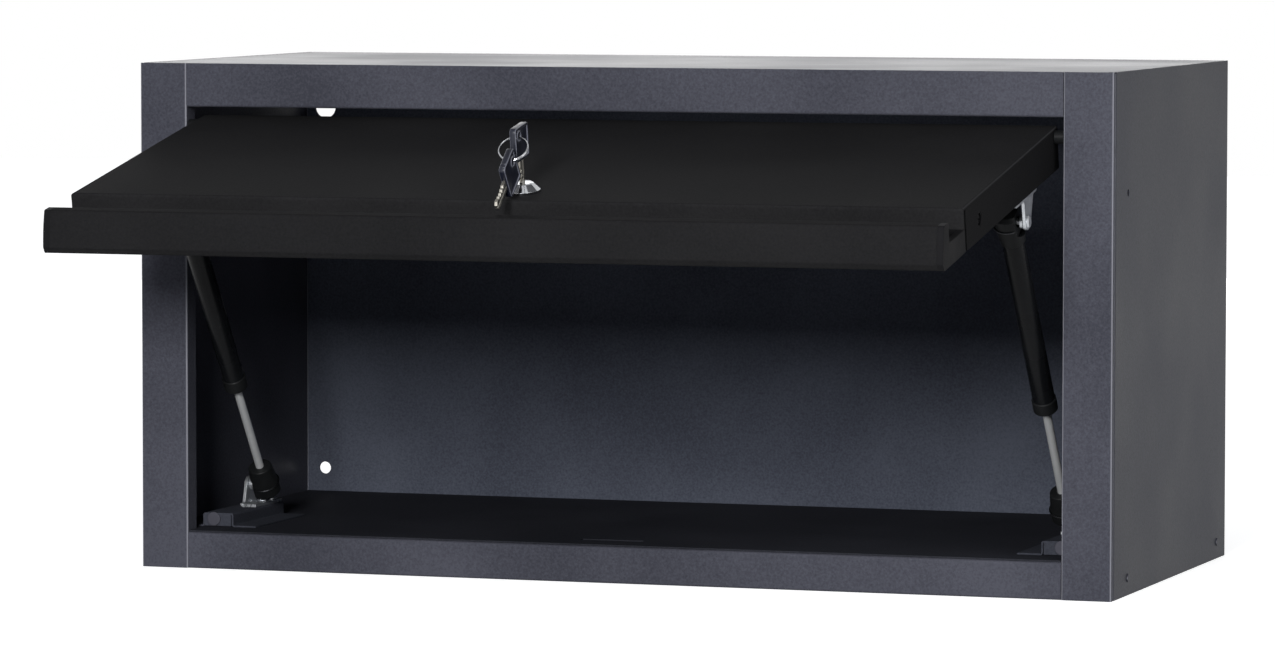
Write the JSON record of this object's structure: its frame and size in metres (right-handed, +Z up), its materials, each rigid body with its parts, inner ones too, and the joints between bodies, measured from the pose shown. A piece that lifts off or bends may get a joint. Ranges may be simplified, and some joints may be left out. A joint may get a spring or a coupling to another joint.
{
  "type": "wall cabinet with flip-up door",
  "caption": "Wide steel wall cabinet with a flip-up door held open by gas struts, a folded handle, and a cam lock with key, ring and spare key.",
  "frame": {"origin": "half way between the two lower wall holes, on the rear face of the back panel", "axes": "+X to the right seen from the front, +Y from the front to the wall, +Z up"},
  "size_m": [0.7074, 0.5898, 0.356],
  "materials": {
    "carcass_paint": "fine-textured slate powder coat",
    "door_paint": "fine-textured black powder coat",
    "cap_plastic": "moulded black",
    "zinc": "bright zinc plate",
    "chrome": "polished chrome plate",
    "die_cast": "die-cast lock body",
    "strut_paint": "smooth black paint",
    "rod_steel": "ground and polished rod",
    "fitting_plastic": "moulded black",
    "key_steel": "nickel-plated key blank",
    "key_plastic": "moulded navy black",
    "bumper_rubber": "rubber"
  },
  "bodies": {
    "carcass": {"right_side_panel": "carcass_paint", "left_side_panel": "carcass_paint", "right_stile": "carcass_paint", "left_stile": "carcass_paint", "top_rail": "carcass_paint", "bottom_rail": "carcass_paint", "top_panel": "carcass_paint", "back_panel": "carcass_paint", "floor_panel": "carcass_paint", "right_strut_channel": "carcass_paint", "left_strut_channel": "carcass_paint", "right_door_bumper": "bumper_rubber", "left_door_bumper": "bumper_rubber", "right_lower_bracket": "zinc", "left_lower_bracket": "zinc", "right_bracket_screws": "zinc", "left_bracket_screws": "zinc", "right_floor_screws": "carcass_paint", "left_floor_screws": "carcass_paint", "right_hinge_stud": "zinc", "left_hinge_stud": "zinc", "right_hinge_spacer": "fitting_plastic", "left_hinge_spacer": "fitting_plastic", "right_lower_ball_stud": "zinc", "left_lower_ball_stud": "zinc"},
    "door": {"door_pan": "door_paint", "door_handle": "door_paint", "right_handle_cap": "cap_plastic", "left_handle_cap": "cap_plastic", "right_screw_cup": "cap_plastic", "left_screw_cup": "cap_plastic", "right_door_bracket": "zinc", "left_door_bracket": "zinc", "right_bracket_rivet": "zinc", "left_bracket_rivet": "zinc", "escutcheon": "chrome", "lock_barrel": "die_cast", "lock_nut": "zinc"},
    "lock_plug": {"lock_plug": "chrome", "lock_cam": "zinc", "cam_screw": "zinc"},
    "key": {"key_blade": "key_steel", "key_head": "key_plastic"},
    "ring": {"split_ring": "chrome"},
    "spare_key": {"spare_blade": "key_steel", "spare_head": "key_plastic"},
    "right_strut_rod": {"right_strut_rod": "rod_steel", "right_rod_fitting": "fitting_plastic"},
    "right_strut_tube": {"right_strut_tube": "strut_paint", "right_gland_collar": "fitting_plastic", "right_tube_fitting": "fitting_plastic", "right_upper_ball_stud": "zinc"},
    "left_strut_rod": {"left_strut_rod": "rod_steel", "left_rod_fitting": "fitting_plastic"},
    "left_strut_tube": {"left_strut_tube": "strut_paint", "left_gland_collar": "fitting_plastic", "left_tube_fitting": "fitting_plastic", "left_upper_ball_stud": "zinc"}
  },
  "joints": [
    {"name": "door_hinge", "type": "hinge", "parent": "carcass", "child": "door", "pos_m": [0, -0.3082, 0.268], "axis": [1, 0, 0], "range_deg": [0, 79], "stiffness_Nm_per_rad": 2, "springref_deg": -171.89},
    {"name": "lock_turn", "type": "hinge", "parent": "door", "child": "lock_plug", "pos_m": [0.0025, -0.50822, 0.23523], "axis": [0, -0.1908, 0.9816], "range_deg": [0, 90]},
    {"name": "key_slide", "type": "slide", "parent": "lock_plug", "child": "key", "axis": [0, -0.1908, 0.9816], "range_m": [0, 0.009]},
    {"name": "ring_swing", "type": "hinge", "parent": "key", "child": "ring", "pos_m": [0.0025, -0.52056, 0.2723], "axis": [-1, 0, 0], "range_deg": [0, 45]},
    {"name": "spare_key_swing", "type": "hinge", "parent": "ring", "child": "spare_key", "pos_m": [0.00366, -0.53579, 0.25619], "axis": [-1, 0, 0], "range_deg": [0, 35]},
    {"name": "right_strut_pivot", "type": "hinge", "parent": "carcass", "child": "right_strut_rod", "pos_m": [0.2965, -0.2222, 0.008], "axis": [1, 0, 0], "range_deg": [-22.49, 0]},
    {"name": "right_strut_slide", "type": "slide", "parent": "right_strut_rod", "child": "right_strut_tube", "axis": [0, -0.5857, 0.8106], "range_m": [-0.06105, 0]},
    {"name": "left_strut_pivot", "type": "hinge", "parent": "carcass", "child": "left_strut_rod", "pos_m": [-0.2965, -0.2222, 0.008], "axis": [1, 0, 0], "range_deg": [-22.49, 0]},
    {"name": "left_strut_slide", "type": "slide", "parent": "left_strut_rod", "child": "left_strut_tube", "axis": [0, -0.5857, 0.8106], "range_m": [-0.06105, 0]}
  ],
  "couplings": [
    {"joint": "right_strut_pivot", "follows": "door_hinge", "ratio": -0.2834},
    {"joint": "right_strut_slide", "follows": "door_hinge", "m_per_rad": -0.044135},
    {"joint": "left_strut_pivot", "follows": "door_hinge", "ratio": -0.2834},
    {"joint": "left_strut_slide", "follows": "door_hinge", "m_per_rad": -0.044135}
  ]
}
